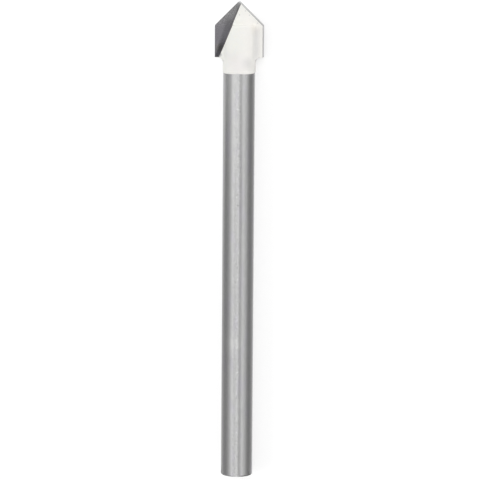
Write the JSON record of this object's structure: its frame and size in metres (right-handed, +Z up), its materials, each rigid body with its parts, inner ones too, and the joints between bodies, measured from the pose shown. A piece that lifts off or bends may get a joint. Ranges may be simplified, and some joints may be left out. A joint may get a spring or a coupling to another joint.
{
  "type": "tile drill bit",
  "caption": "Spear-point drill bit for tile and glass: a flat carbide plate brazed across a slotted round steel shank, with a white-coated head.",
  "frame": {"origin": "centre of the shank's plain end, on the bit's axis", "axes": "+Y along the bit's axis towards the point, +Z up as the bit lies at rest on a floor, on its neck, its plain end and the cutting edge of the +X wing; so the plate is rolled 31.2 degrees about +Y from level, with its +X wing down and the rake face of its -X wing up"},
  "size_m": [0.009, 0.0953, 0.0066],
  "materials": {
    "steel": "centreless-ground tool steel, satin, with fine marks along the bit",
    "carbide": "ground tungsten carbide, dark grey",
    "braze": "silver braze, as flowed",
    "coat": "white sprayed coat, low sheen"
  },
  "bodies": {
    "root": {"steel_shank": "steel", "carbide_tip": "carbide", "braze_filler": "braze", "white_coat": "coat"}
  },
  "joints": []
}
